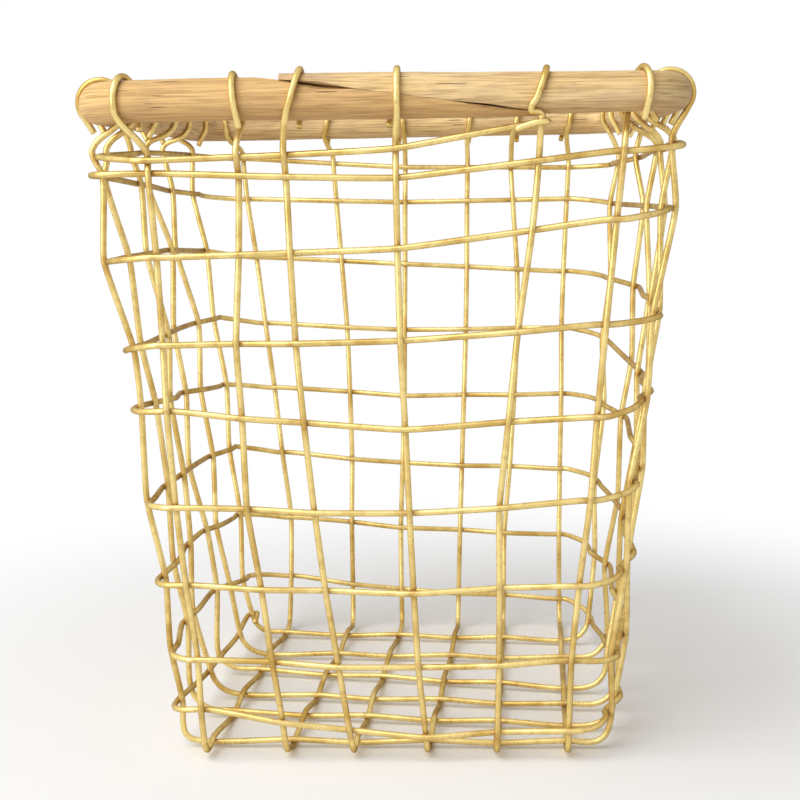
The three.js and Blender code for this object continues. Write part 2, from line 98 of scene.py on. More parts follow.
# For each leg of the wires: its place along the wall at the LEVELS, how far it stands outside the
# flat wall there, in millimetres, whether it goes up outside the cane, and where its hook crosses
# the cane: on the leg's side, on top and at the tail, in hundredths of the cane's half width.
FLAT_WALL = [0] * len(LEVELS)
LEGS = {
    "front": [
        ([-87, -85, -86, -82.5, -80.5, -79.5], FLAT_WALL, True, [-88.5, -88.5, -85]),
        ([-50, -53, -57, -55, -51, -49], FLAT_WALL, False, [-48.5, -50.5, -49]),
        ([-19.5, -25.5, -30.5, -33.5, -33, -33], FLAT_WALL, True, [-32, -27.5, -28.5]),
        ([14, 9.5, 7.5, 5, 4.5, 4.5], FLAT_WALL, True, [5.5, 5.5, 3]),
        ([45.5, 45, 43, 47.5, 51, 52.5], FLAT_WALL, True, [50.5, 56, 55]),
        ([77.5, 75.5, 78.5, 79, 80, 80.5], FLAT_WALL, False, [84, 88.5, 88]),
    ],
    "back": [
        ([-72, -66.5, -69.5, -73, -75.5, -77], FLAT_WALL, False, [-84, -86, -83]),
        ([-34.5, -33, -30.5, -31, -33, -34], FLAT_WALL, False, [-38, -35.5, -37]),
        ([-5.5, -5.5, -2.5, -1, -0.5, 0], FLAT_WALL, False, [0, -1, -2.5]),
        ([27.5, 28, 29, 30, 29.5, 29.5], FLAT_WALL, False, [30, 32, 31]),
        ([54, 53, 55.5, 56, 52.5, 50], FLAT_WALL, False, [51.5, 55, 54]),
        ([87, 83.5, 81, 77.5, 77.5, 77], FLAT_WALL, False, [77, 79.5, 76]),
    ],
    "left": [
        ([80, 79.5, 81, 81, 80, 79.5], [2.5, 2, -1, -1.5, 0.5, 1], True, [80.5, 78, 79.5]),
        ([43, 40, 43, 43, 37, 39.5], [1.5, 3, 1.5, 0, 3.5, 3], False, [39, 37, 39]),
        ([16.5, 17, 11.5, 12, 10.5, 4.5], [5, 3, 3.5, 2, 0.5, 4], False, [7, 9, 8]),
        ([-20.5, -24, -22.5, -24, -24.5, -25], [2, 3.5, 1, -1, 1.5, 1.5],
         True, [-27.5, -30, -28.5]),
        ([-45.5, -47.5, -53, -58.5, -61.5, -63.5], [3.5, 2.5, 1, 0, 1.5, 3],
         False, [-64.5, -62, -63]),
        ([-83, -82, -82, -81, -82, -80.5], [1, 0, 0.5, -0.5, 3.5, 1.5], False, [-83, -86, -81.5]),
    ],
    "right": [
        ([65, 66.5, 68, 72.5, 75, 75], [1.5, -0.5, -1, -2.5, -3, -3], False, [76, 73.5, 74.5]),
        ([33, 33, 25.5, 24, 23, 35], [4.5, 3, 3.5, 3.5, 4, 1.5], True, [38, 40, 39]),
        ([-14, -10.5, -15, -14.5, -3.5, -1], [2.5, 2.5, 3.5, 4, 3, 3], False, [-2.5, -4.5, -3.5]),
        ([-38.5, -34.5, -36.5, -36, -37, -30.5], [3, 2.5, 3, 3.5, 4, 2.5], False, [-32, -30, -31]),
        ([-65, -62.5, -60.5, -61, -58, -56.5], [1.5, 1.5, 1.5, 2, 1.5, 1.5],
         False, [-57.5, -60, -57.5]),
        ([-85.5, -83.5, -81, -77.5, -76.5, -76], [-3, -3, -2.5, -0.5, 2.5, 0.5],
         True, [-80.5, -83, -79.5]),
    ],
}

# The spiral wire's height on each turn, from the lowest up: at the first leg that it passes, the
# middle and the last leg of the left wall, the front, the right wall and the back.
TURNS = [
    [4.7, 4, 7.7, 8.5, 4, 5.2, 6, 6.4, 4.5, 5.8, 7.5, 10.5],
    [12.2, 16.6, 17, 17, 15.2, 16.4, 15.7, 18.8, 18.2, 18.5, 20.1, 22.5],
    [24.4, 27.6, 28.2, 28.7, 27.3, 28.5, 29.1, 31.7, 31.2, 31.8, 33, 35.4],
    [37.8, 39.6, 40.8, 41.1, 39.6, 41.5, 42.7, 46, 46.6, 46.5, 46.5, 48.5],
    [50, 52.7, 55.1, 55.6, 52.5, 54.2, 55.6, 56.1, 58.2, 59.6, 59.5, 61.2],
    [63.1, 63.8, 64.1, 65.5, 65.5, 67.6, 68.1, 69.2, 70, 70.6, 72.5, 74.3],
    [76.1, 77.6, 77.4, 78.2, 78.7, 82.5, 83.8, 83.6, 83.7, 84.7, 84.6, 85.7],
    [86.9, 88.4, 89.9, 90, 88.6, 91.9, 93, 92.6, 91.3, 90.8, 91.4, 93.6],
    [94.4, 94.1, 92.6, 91.8, 92.5, 96],
]

# How far the spiral bows out between two walls on each turn, in millimetres
CORNER_BOWS = [3, 3, 3, 3, 3, 3, 3, 8, 2]

# Each wall's name, outward direction, the direction of X or Y in which the spiral passes it, and
# the bend at its foot
WALLS = [
    ("left", (-1, 0), -1, SIDE_FOOT_BEND),
    ("front", (0, -1), 1, FOOT_BEND),
    ("right", (1, 0), 1, SIDE_FOOT_BEND),
    ("back", (0, 1), -1, FOOT_BEND),
]
LEFT, FRONT, RIGHT, BACK = range(4)

WALL_LEGS = len(LEGS["front"])
LEG_COUNT = len(WALLS) * WALL_LEGS
LAST_TURN = len(TURNS) - 1
LAST_LEG = 4  # the spiral ends at this leg of the front, counted from 0
LAST_ORDER = LAST_TURN * LEG_COUNT + WALL_LEGS + LAST_LEG
PASSED_INSIDE = WALL_LEGS + 2  # the third leg of the front, which the last turn passes inside

# The rim's straight sides, corner bends and whole length, along the cane's middle
STRAIGHT = 2 * (RIM_HALF - RIM_CORNER)
BEND = RIM_CORNER * math.pi / 2
ROUND = 4 * (STRAIGHT + BEND)

# The angle round the cane at which a hook starts and ends, in degrees from straight outwards, for
# a leg that goes up outside the cane and for one inside it
OUTER_HOOK = (-38, 222)
INNER_HOOK = (230, -42)

STIFF_REACH = 4.2  # how far a bend reaches along a wire, in millimetres
BEND_SHARE = 0.36  # and at most, as a share of the way to the next point
HOOK_RISE = 1.15  # how far a leg runs on above its last crossing, in wire diameters
CUT_EDGE_PART = 6  # a cut end's edge is broken by this part of the diameter
FULL_TARNISH_AND_SHADE = 0.35  # how far from a crossing the tarnish and painted contact shade are full, in wire diameters
TARNISH_AND_SHADE_END = 1.9  # and where they end

# The cane's diameter along its run from the front's middle to the right
CANE_GIRTH = [
    (-40, 12.5), (0, 12.5), (48, 12), (84, 11.9), (170, 12.1), (250, 12.2), (340, 12.3),
    (430, 12.2), (510, 12.3), (590, 12.6), (640, 12.6), (680, 12.5), (730, 12.5),
]
SWELLINGS = [(1.4, 0.16), (6, 0.05)]  # how close together the swellings are, and how high
SWELLING_LENGTH = 26  # how far they are drawn out along the cane, in millimetres
SHARP_EDGE = math.radians(40)  # edges of the cane that turn by more stay sharp

# Steps along the bends, and rings and sides of the meshes
HEIGHT_PASSES = 8  # until the height of a crossing on a leaning leg has settled
FOOT_STEPS = 3
HOOK_STEPS = 9
END_STEPS = 6
CORNER_STEPS = 4
SPIRAL_RINGS = 5
U_WIRE_RINGS = 6
WIRE_BEVEL = 6
CANE_SIDES = 96
CANE_CUTS = (19, 22)
MERGE_REACH = 1e-6

# Stage: lengths in metres, camera angles in radians
FLOOR_RADIUS = 6
FLOOR_SIDES = 96
FLOOR_FADE = (0.1, 0.34)  # from the middle: where the floor starts to whiten, and is white
LIGHT_AIM = Vector((0, 0, 0.1))
KEY_LIGHT = (1.6, (-0.75, -0.75, 1.3))  # size and place
SIDE_LIGHT = (1.2, (-1.25, -1.1, 0.25))
CAMERA_LENS = 64.125  # in millimetres, as is the sensor
CAMERA_SENSOR = 36
CAMERA_PLACE = (0.02326, -0.5165, 0.186)
CAMERA_TURN = 0.045  # to the left
CAMERA_TILT = math.radians(90 - 8.45)  # from straight down
CAMERA_ROLL = -0.018


def rescale(value, low, high, to_low, to_high):
    """The value moved from one range to another."""
    return to_low + (value - low) / (high - low) * (to_high - to_low)


def read_list(listed, value):
    """A value read between the pairs of a list."""
    for (low, first), (high, second) in zip(listed, listed[1:]):
        if value <= high:
            return rescale(max(value, low), low, high, first, second)
    return listed[-1][1]


def smooth_step(value, low, high):
    """0 below low, 1 above high, and a soft change between them."""
    share = min(1.0, max(0.0, (value - low) / (high - low)))
    return share * share * (3 - 2 * share)


# ---------------------------------------------------------------- the woven lines


class WovenLines:
    """The middle lines of the wires, for one wire size, in millimetres."""

    def __init__(self, wire):
        self.wire = wire
        # how far a wire stands off the woven surface where it crosses another
        self.weave = wire / 2 + WEAVE_GAP
        # in the floor the wires from left to right stay straighter than the others
        self.side_wave = self.weave / 2
        self.front_wave = 2 * self.weave - self.side_wave
        self.floor_level = self.front_wave + wire / 2 + GROUND_GAP

    def wall_half(self, z):
        """Half the distance between two opposite walls at a height."""
        return rescale(z, 0, RIM_HEIGHT, WALL_FOOT_HALF, RIM_HALF + WALL_OVERHANG)

    def at_level(self, values, z):
        """A value read at a height from a list that goes with LEVELS."""
        return read_list(list(zip(LEVELS, values)), 100 * z / RIM_HEIGHT)

    def wall_point(self, wall, place, z, bow, foot, lift):
        """A point on a wall that bows outwards there and bends to the floor at its foot.

        It is lifted off the wall, outwards if lift is positive.
        """
        out = WALLS[wall][1]
        half = self.wall_half(z)
        pinch = self.at_level(LEFT_PINCH, z) * (place / half + 1) / 2 if wall == LEFT else 0
        down = min(1.0, max(0.0, 1 - (z - self.floor_level) / foot))
        outward = math.sqrt(1 - down * down)
        distance = half - pinch + bow - foot * (1 - outward) + lift * outward
        return Vector((
            out[0] * distance + abs(out[1]) * place,
            out[1] * distance + abs(out[0]) * place,
            z - lift * down,
        ))

    def leg_place(self, leg, z):
        """A leg's place along its wall at a height."""
        return self.at_level(leg[0], z) * self.wall_half(z) / 100

    def foot_bend(self, wall, leg):
        """The bend radius at a leg's foot: the front-most wire's is tight at the sides too."""
        front_most = leg is LEGS["left"][-1] or leg is LEGS["right"][-1]
        return FOOT_BEND if front_most else WALLS[wall][3]

    def leg_point(self, wall, leg, z, lift, shift=0):
        """A point on a leg, or shifted along the wall from it, and lifted off the wall."""
        place = self.leg_place(leg, z) + shift
        bow = self.at_level(leg[1], z)
        return self.wall_point(wall, place, z, bow, self.foot_bend(wall, leg), lift)

    def legs_in_order(self, wall):
        """A wall's legs in the order in which the spiral passes them."""
        legs = LEGS[WALLS[wall][0]]
        return legs if wall < RIGHT else legs[::-1]

    def spiral_height(self, turn, wall, place):
        """The spiral's height on a turn at a place along a wall."""
        first, middle, last = TURNS[turn][3 * wall:3 * wall + 3]
        legs = self.legs_in_order(wall)
        past = place * WALLS[wall][2] > 0
        last_leg = LAST_LEG if turn == LAST_TURN and wall == FRONT else len(legs) - 1
        end = self.leg_place(legs[last_leg if past else 0], middle * RIM_HEIGHT / 100)
        return rescale(place, 0, end, middle, last if past else first) * RIM_HEIGHT / 100

    def spiral_outside(self, turn, order):
        """Whether the spiral passes a leg outside, for the leg's order in the turn.

        It does so by turns, but for two legs running once in each turn, as their even number asks.
        """
        if turn == LAST_TURN and order == PASSED_INSIDE:
            return False
        return (order - turn) % 2 == 1 if order > turn else (turn - order) % 2 == 0

    def crossing_height(self, turn, wall, leg):
        """The height at which the spiral crosses a leg on a turn."""
        z = self.spiral_height(turn, wall, 0)
        for _ in range(HEIGHT_PASSES):
            z = self.spiral_height(turn, wall, self.leg_place(leg, z))
        return z

    def spiral_stop(self, order):
        """The turn, the wall and the leg at which the spiral is, for a count of legs passed."""
        turn, in_turn = divmod(order, LEG_COUNT)
        wall, in_wall = divmod(in_turn, WALL_LEGS)
        return turn, wall, self.legs_in_order(wall)[in_wall]

    def hook_points(self, wall, leg):
        """The hook at a leg's top, from the leg's side of the cane over it and down again."""
        outside, hook = leg[2], leg[3]
        side = (wall + 3) % len(WALLS)  # the cane's run starts with the front
        start, stop = (math.radians(angle) for angle in (OUTER_HOOK if outside else INNER_HOOK))
        places = [share * RIM_HALF / 100 for share in hook]
        points = []
        for i in range(HOOK_STEPS + 1):
            angle = start + (stop - start) * i / HOOK_STEPS
            lean = math.sin(i / HOOK_STEPS * math.pi)
            end = places[2] if i > HOOK_STEPS / 2 else places[0]
            place = WALLS[wall][2] * (end + (places[1] - end) * lean)
            run = side * (STRAIGHT + BEND) + place
            centre, out = cane_place(run)
            above, below = joint_steps(place) if wall == FRONT else (0, 0)
            radius = cane_girth(run) / 2 + self.wire / 2 + HOOK_GAP
            point = centre + out * radius * math.cos(angle)
            point.z += (above - below) / 2 + (radius + (above + below) / 2) * math.sin(angle)
            points.append(point)
        points.append(points[-1] + (points[-1] - points[-2]).normalized() * TAIL)
        return points

    def leg_points(self, wall, leg):
        """One leg from the floor to the end of its hook."""
        order = wall * WALL_LEGS + self.legs_in_order(wall).index(leg)
        woven = [
            (
                self.crossing_height(turn, wall, leg),
                -self.weave if self.spiral_outside(turn, order) else self.weave,
            )
            for turn in range(LAST_TURN + 1)
            if turn < LAST_TURN or order <= WALL_LEGS + LAST_LEG
        ]
        low, low_lift = woven[0]
        points = []
        for i in range(1, FOOT_STEPS + 1):
            rise = 1 - math.cos(i * math.pi / (2 * FOOT_STEPS))
            z = self.floor_level + self.foot_bend(wall, leg) * rise
            if z < low - self.wire / 2:
                share = (z - self.floor_level) / (low - self.floor_level)
                points.append(self.leg_point(wall, leg, z, low_lift * share))
        points += [self.leg_point(wall, leg, z, lift) for z, lift in woven]
        top, lift = woven[-1]
        points.append(self.leg_point(wall, leg, top + self.wire * HOOK_RISE, lift))
        return points + self.hook_points(wall, leg)

    def floor_line(self, first_wall, second_wall, index):
        """The straight line of a U wire in the floor, between its two walls."""
        return [
            self.leg_point(wall, LEGS[WALLS[wall][0]][index], self.floor_level, 0)
            for wall in (first_wall, second_wall)
        ]

    def u_wire(self, first_wall, second_wall, index):
        """One U wire: down the first wall, through the floor and up the opposite wall."""
        walls = (first_wall, second_wall)
        legs = [LEGS[WALLS[wall][0]][index] for wall in walls]
        first, second = (self.leg_points(wall, leg) for wall, leg in zip(walls, legs))
        line = self.floor_line(first_wall, second_wall, index)
        lengthwise = first_wall == FRONT
        across, facing = (LEFT, RIGHT) if lengthwise else (FRONT, BACK)
        wave = self.front_wave if lengthwise else self.side_wave
        crossings = []
        for i in range(WALL_LEGS):
            over = ((index + i) % 2 == 1) == lengthwise
            share = crossing_share(line, self.floor_line(across, facing, i))
            point = line[0].lerp(line[1], share)
            point.z += wave if over else -wave
            crossings.append((share, point))
        floor = [point for _, point in sorted(crossings, key=lambda crossing: crossing[0])]
        # the wider bends at the sides run straight into the crossings of the outermost wires
        start, end = (
            [point] if self.foot_bend(wall, leg) <= FOOT_BEND else []
            for wall, leg, point in zip(walls, legs, line)
        )
        return first[::-1] + start + floor + end + second

    def round_leg(self, wall, leg, z, leg_lift, sense):
        """The spiral's end, bent back round a leg: sense 1 for its start, -1 for its end."""
        radius = self.wire + END_GAP
        forward = WALLS[wall][2] * sense
        tip_lift = leg_lift - sense * radius
        points = [self.leg_point(wall, leg, z - END_DROP, tip_lift, forward * END_LENGTH)]
        for i in range(END_STEPS + 1):
            angle = i / END_STEPS * math.pi
            lift = leg_lift - sense * radius * math.cos(angle)
            points.append(self.leg_point(wall, leg, z, lift, -forward * radius * math.sin(angle)))
        return points if sense > 0 else points[::-1]

    def corner_points(self, start, end, bow):
        """The spiral's bend from past one wall's last leg to before the next wall's first."""
        outward = Vector((end.y - start.y, start.x - end.x, 0)).normalized()
        return [
            start.lerp(end, i / CORNER_STEPS) + outward * bow * math.sin(i / CORNER_STEPS * math.pi)
            for i in range(1, CORNER_STEPS)
        ]

    def spiral(self):
        """The spiral wire, from the hook round its first leg to the hook round its last."""
        points = []
        for order in range(LAST_ORDER + 1):
            turn, wall, leg = self.spiral_stop(order)
            z = self.crossing_height(turn, wall, leg)
            lift = self.weave if self.spiral_outside(turn, order % LEG_COUNT) else -self.weave
            if order == 0:
                points += self.round_leg(wall, leg, z, -self.weave, 1)
            elif order == LAST_ORDER:
                points += self.round_leg(wall, leg, z, self.weave, -1)
            else:
                before, at, after = (
                    self.leg_point(wall, leg, z, lift, WALLS[wall][2] * shift)
                    for shift in (-self.wire, 0, self.wire)
                )
                if order % WALL_LEGS == 0:
                    points += self.corner_points(points[-1], before, CORNER_BOWS[turn])
                # the wire lies flat along the first and the last leg of a wall
                outermost = order % WALL_LEGS in (0, WALL_LEGS - 1)
                points += [before, at, after] if outermost else [at]
        return points

    def crossings(self):
        """The places where one wire touches another, midway between their middle lines."""
        places = []
        for order in range(LAST_ORDER + 1):
            turn, wall, leg = self.spiral_stop(order)
            places.append(self.leg_point(wall, leg, self.crossing_height(turn, wall, leg), 0))
        for index in range(WALL_LEGS):
            line = self.floor_line(FRONT, BACK, index)
            for i in range(WALL_LEGS):
                share = crossing_share(line, self.floor_line(LEFT, RIGHT, i))
                places.append(line[0].lerp(line[1], share))
        return places


def crossing_share(line, other):
    """The share of the first line at which the second crosses it, seen from above."""
    along = other[1] - other[0]
    across = [(end.x - other[0].x) * along.y - (end.y - other[0].y) * along.x for end in line]
    return across[0] / (across[0] - across[1])


def cane_place(run):
    """The cane's middle and outward direction, at a run from the front's middle to the right."""
    sides = math.floor((run + STRAIGHT / 2) / (STRAIGHT + BEND))
    rest = run - sides * (STRAIGHT + BEND)
    angle = max(0, rest - STRAIGHT / 2) / RIM_CORNER
    x = min(rest, STRAIGHT / 2) + RIM_CORNER * math.sin(angle)
    y = -STRAIGHT / 2 - RIM_CORNER * math.cos(angle)
    heading = sides * math.pi / 2
    centre = Matrix.Rotation(heading, 3, "Z") @ Vector((x, y, RIM_HEIGHT))
    out = Vector((math.sin(heading + angle), -math.cos(heading + angle), 0))
    return centre, out


def cane_girth(run):
    """The cane's diameter at a run round the rim."""
    rest = (run + JOINT_LEFT + JOINT_EASE) % ROUND - JOINT_LEFT - JOINT_EASE
    return read_list(CANE_GIRTH, rest)


def joint_steps(x):
    """How far the joint stands over the cane's own top and under its underside, on the front."""
    if not JOINT_LEFT - JOINT_EASE <= x <= JOINT_RIGHT + JOINT_EASE:
        return 0, 0
    length = JOINT_RIGHT - JOINT_LEFT + JOINT_EASE
    above = below = 0
    if x > JOINT_LEFT - STEP_MARGIN:
        above = UPPER_STEP * (JOINT_RIGHT + JOINT_EASE - x) / length
    if x < JOINT_RIGHT + STEP_MARGIN:
        below = LOWER_STEP * (x - JOINT_LEFT + JOINT_EASE) / length
    return above, below


# ---------------------------------------------------------------- modelling helpers


def clear_selection():
    """Leaves object mode with nothing selected."""
    if bpy.context.object and bpy.context.object.mode != "OBJECT":
        bpy.ops.object.mode_set(mode="OBJECT")
    bpy.ops.object.select_all(action="DESELECT")


def select_only(piece):
    """Selects one piece and makes it active."""
    clear_selection()
    piece.select_set(True)
    bpy.context.view_layer.objects.active = piece


def finish_piece(piece, node, material):
    """Gives the piece its material and body, and hides the frame's node that it stands for."""
    piece.data.materials.clear()
    piece.data.materials.append(material)
    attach(piece, "root")
    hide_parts(node)


def bend_wire(name, points, wire, rings):
    """A round wire bent through the points, with its cut ends' edges broken."""
    clear_selection()
    bpy.ops.curve.primitive_bezier_curve_add(location=(0, 0, 0))
    piece = bpy.context.object
    piece.name = name
    line = piece.data
    spline = line.splines[0]
    spline.bezier_points.add(len(points) - 2)
    ends = [points[0], *points, points[-1]]
    for i, (knot, point) in enumerate(zip(spline.bezier_points, points)):
        before, after = ends[i], ends[i + 2]
        heading = (after - point).normalized() + (point - before).normalized()
        heading.normalize()
        # the wire springs straight again a little past each bend
        reach_back = min(BEND_SHARE * (point - before).length, STIFF_REACH)
        reach_on = min(BEND_SHARE * (after - point).length, STIFF_REACH)
        knot.handle_left_type = "FREE"
        knot.handle_right_type = "FREE"
        knot.co = point * MM
        knot.handle_left = (point - heading * reach_back) * MM
        knot.handle_right = (point + heading * reach_on) * MM
    line.resolution_u = rings
    line.twist_mode = "MINIMUM"
    line.bevel_depth = wire / 2 * MM
    line.bevel_resolution = WIRE_BEVEL
    line.use_fill_caps = True
    bpy.ops.object.convert(target="MESH")
    piece = bpy.context.object
    piece.name = name
    piece.data.name = name
    bpy.ops.object.mode_set(mode="EDIT")
    bpy.ops.mesh.select_all(action="SELECT")
    bpy.ops.mesh.remove_doubles(threshold=MERGE_REACH)
    bpy.ops.mesh.normals_make_consistent(inside=False)
    bpy.ops.mesh.select_all(action="DESELECT")
    bpy.ops.object.mode_set(mode="OBJECT")
    for face in piece.data.polygons:
        # only the two cut ends have more than four corners
        face.select = len(face.vertices) > 4
    bpy.ops.object.mode_set(mode="EDIT")
    bpy.ops.mesh.bevel(offset=wire * MM / CUT_EDGE_PART, segments=2, affect="EDGES")
    bpy.ops.object.mode_set(mode="OBJECT")
    bpy.ops.object.shade_smooth()
    return piece


def mark_contacts(piece, lines):
    """Stores how near each point lies to a crossing of two wires, where tarnish gathers and painted
    contact shade darkens the brass.
    """
    places = lines.crossings()
    tree = kdtree.KDTree(len(places))
    for i, place in enumerate(places):
        tree.insert(place * MM, i)
    tree.balance()
    contact = piece.data.attributes.new("contact", "FLOAT", "POINT")
    reach = lines.wire * MM
    for vertex, value in zip(piece.data.vertices, contact.data):
        distance = tree.find(vertex.co)[2]
        value.value = 1 - smooth_step(distance, FULL_TARNISH_AND_SHADE * reach, TARNISH_AND_SHADE_END * reach)


# ---------------------------------------------------------------- materials


def with_alpha(colour):
    """A colour as a node's socket takes it."""
    return (*colour, 1.0)


def new_material(name):
    """A material with nodes, and the bench that adds to them."""
    material = bpy.data.materials.new(name)
    material.use_nodes = True
    return material, NodeBench(material.node_tree)


class NodeBench:
    """Adds nodes to one tree, each placed to the right of the last."""

    first_column = -1800
    column_step = 40
    mix_colours = (6, 7)  # the Mix node's sockets for two colours
    mix_result = 2  # and for their mixture

    def __init__(self, tree):
        self.tree = tree
        self.shader = tree.nodes.get("Principled BSDF")
        self.column = self.first_column

    def add(self, kind, inputs=None, **settings):
        """A node with its settings, its inputs linked or set."""
        node = self.tree.nodes.new(kind)
        node.location = (self.column, 0)
        self.column += self.column_step
        for name, value in settings.items():
            setattr(node, name, value)
        for name, value in (inputs or {}).items():
            self.feed(node.inputs[name], value)
        return node

    def feed(self, socket, value):
        """Links a socket to another, or sets its value."""
        if isinstance(value, bpy.types.NodeSocket):
            self.tree.links.new(value, socket)
        else:
            socket.default_value = value

    def noise(self, vector, scale, detail=2.0, roughness=0.5):
        """Soft noise from 0 to 1."""
        node = self.add(
            "ShaderNodeTexNoise",
            {"Vector": vector, "Scale": scale, "Detail": detail, "Roughness": roughness},
        )
        return node.outputs["Fac"]

    def draw_out(self, vector, share):
        """Places for a pattern that is drawn out along Z, more the smaller the share is."""
        node = self.add("ShaderNodeMapping", {"Vector": vector, "Scale": (1.0, 1.0, share)})
        return node.outputs["Vector"]

    def window(self, value, low, high, to_low=0.0, to_high=1.0, **settings):
        """The value moved from one range to another and held inside it."""
        node = self.add(
            "ShaderNodeMapRange",
            {
                "Value": value, "From Min": low, "From Max": high,
                "To Min": to_low, "To Max": to_high,
            },
            **settings,
        )
        return node.outputs["Result"]

    def maths(self, operation, first, second):
        """Two values reckoned together."""
        node = self.add("ShaderNodeMath", {0: first, 1: second}, operation=operation)
        return node.outputs["Value"]

    def blend(self, share, *colours):
        """Two colours mixed, each a socket or a plain colour."""
        inputs = {0: share}
        for socket, colour in zip(self.mix_colours, colours):
            linked = isinstance(colour, bpy.types.NodeSocket)
            inputs[socket] = colour if linked else with_alpha(colour)
        return self.add("ShaderNodeMix", inputs, data_type="RGBA").outputs[self.mix_result]

    def bump(self, height, strength, distance):
        """A normal roughened by a height."""
        node = self.add(
            "ShaderNodeBump", {"Height": height, "Strength": strength, "Distance": distance}
        )
        return node.outputs["Normal"]

    def seen_share(self):
        """1 where the camera looks straight, in a reflection or through glass, else 0."""
        path = self.add("ShaderNodeLightPath").outputs
        seen = self.maths("MAXIMUM", path["Is Camera Ray"], path["Is Glossy Ray"])
        return self.maths("MAXIMUM", seen, path["Is Transmission Ray"])

    def wire_up(self, **sockets):
        """Feeds the shader's sockets, named with underscores."""
        for name, value in sockets.items():
            self.feed(self.shader.inputs[name.replace("_", " ")], value)


def brass_finish(look):
    """Satin brass: slightly uneven, tarnished and darkened with painted contact shade where wires
    cross, with small dark specks.
    """
    material, bench = new_material("satin_brass")
    place = bench.add("ShaderNodeTexCoord").outputs["Object"]
    contact = bench.add("ShaderNodeAttribute", attribute_name="contact").outputs["Fac"]
    clouds = bench.noise(place, scale=70.0, detail=3.0, roughness=0.6)
    grime = bench.noise(place, scale=420.0, detail=3.0, roughness=0.65)
    specks = bench.noise(place, scale=1500.0, detail=1.0, roughness=0.4)
    grain = bench.noise(place, scale=900.0, detail=2.0)

    tone = bench.blend(bench.window(clouds, 0.42, 0.66), look.colour, look.deep_colour)
    stained = bench.blend(bench.window(grime, 0.52, 0.75, 0.0, 0.4), tone, look.tarnish_and_shade_colour)
    # tarnish and painted contact shade: the brass is darkened near each crossing of two wires
    crossing = bench.maths("MULTIPLY", contact, bench.window(grime, 0.2, 0.75, 0.0, 0.7))
    crossed = bench.blend(crossing, stained, look.tarnish_and_shade_colour)
    speck_share = bench.window(specks, 0.78, 0.82)
    dulling = bench.maths("MULTIPLY", contact, 0.12)
    bench.wire_up(
        Base_Color=bench.blend(speck_share, crossed, look.speck),
        Metallic=look.metal,
        Roughness=bench.maths("ADD", bench.window(grime, 0.2, 0.8, 0.24, 0.36), dulling),
        Normal=bench.bump(
            bench.maths("SUBTRACT", grain, speck_share), strength=0.06, distance=0.0002
        ),
        Specular_Tint=with_alpha(look.edge_colour),
        Specular_IOR_Level=0.2,
    )
    return material


def cane_finish(look):
    """Peeled cane: pale fibres along its run, with streaks, fine splits and greyed patches.

    It is browner towards its older end, and painted shade darkens its underside.
    """
    material, bench = new_material("peeled_cane")
    grain = bench.add("ShaderNodeAttribute", attribute_name="grain").outputs["Vector"]
    in_bar = bench.add("ShaderNodeSeparateXYZ", {"Vector": grain}).outputs
    broad = bench.noise(bench.draw_out(grain, 0.1), scale=160.0, detail=3.0, roughness=0.55)
    patches = bench.noise(bench.draw_out(grain, 0.5), scale=75.0, detail=3.0, roughness=0.6)
    fibres = bench.noise(bench.draw_out(grain, 0.035), scale=1900.0, detail=3.0, roughness=0.6)
    streaks = bench.noise(bench.draw_out(grain, 0.03), scale=900.0, detail=4.0, roughness=0.65)
    splits = bench.noise(bench.draw_out(grain, 0.06), scale=1300.0, detail=1.0, roughness=0.5)

    colour = bench.blend(bench.window(broad, 0.35, 0.65), look.colour, look.pale_colour)
    # each layer: what it follows, from where to where it comes in, how strong, and its colour
    for value, low, high, most, layer in (
        (patches, 0.48, 0.62, 0.5, look.grey_colour),
        (in_bar["Z"], 0.35, 0.66, 0.7, look.aged_colour),
        # painted shade: below the cane's middle, the underside is darkened in the streaks' colour
        (in_bar["Y"], -0.001, -0.0065, 0.5, look.streak_and_shade_colour),
        (streaks, 0.48, 0.64, 0.5, look.streak_and_shade_colour),
        (fibres, 0.47, 0.62, 0.5, look.streak_and_shade_colour),
        (splits, 0.7, 0.74, 0.7, look.split_colour),
    ):
        colour = bench.blend(bench.window(value, low, high, 0.0, most), colour, layer)

    raised = bench.maths("ADD", fibres, bench.maths("MULTIPLY", streaks, 0.8))
    height = bench.maths("SUBTRACT", raised, bench.window(splits, 0.7, 0.74))
    bench.wire_up(
        Base_Color=colour,
        Roughness=bench.window(fibres, 0.3, 0.7, 0.62, 0.8),
        Normal=bench.bump(height, strength=0.35, distance=0.0004),
    )
    return material


# ---------------------------------------------------------------- settings


class BasketWireSettings(bpy.types.PropertyGroup):
    """Size and finish of the brass wire"""

    diameter: bpy.props.FloatProperty(
        name="Diameter", description="Thickness of every wire",
        default=0.002, min=0.001, max=0.003, precision=4, unit="LENGTH",
    )
    metal: bpy.props.FloatProperty(
        name="Metal", description="How much the wire looks like bare metal, not like a dull coat",
        default=0.68, min=0.0, max=1.0, subtype="FACTOR",
    )
    colour: bpy.props.FloatVectorProperty(
        name="Brass", description="Colour of the clean brass",
        default=(0.88, 0.69, 0.28), min=0.0, max=1.0, subtype="COLOR",
    )
    deep_colour: bpy.props.FloatVectorProperty(
        name="Deep Brass", description="Colour of the brass where it has darkened",
        default=(0.62, 0.41, 0.115), min=0.0, max=1.0, subtype="COLOR",
    )
    edge_colour: bpy.props.FloatVectorProperty(
        name="Edge Tint", description="Tint of the reflections near the wire's outline",
        default=(0.16, 0.07, 0.015), min=0.0, max=1.0, subtype="COLOR",
    )
    # this colour paints random tarnish and also painted contact shade where wires cross
    tarnish_and_shade_colour: bpy.props.FloatVectorProperty(
        name="Tarnish", description="Colour of the tarnish between wires that cross",
        default=(0.3, 0.14, 0.025), min=0.0, max=1.0, subtype="COLOR",
    )
    speck: bpy.props.FloatVectorProperty(
        name="Specks", description="Colour of the small dark specks",
        default=(0.1, 0.055, 0.018), min=0.0, max=1.0, subtype="COLOR",
    )


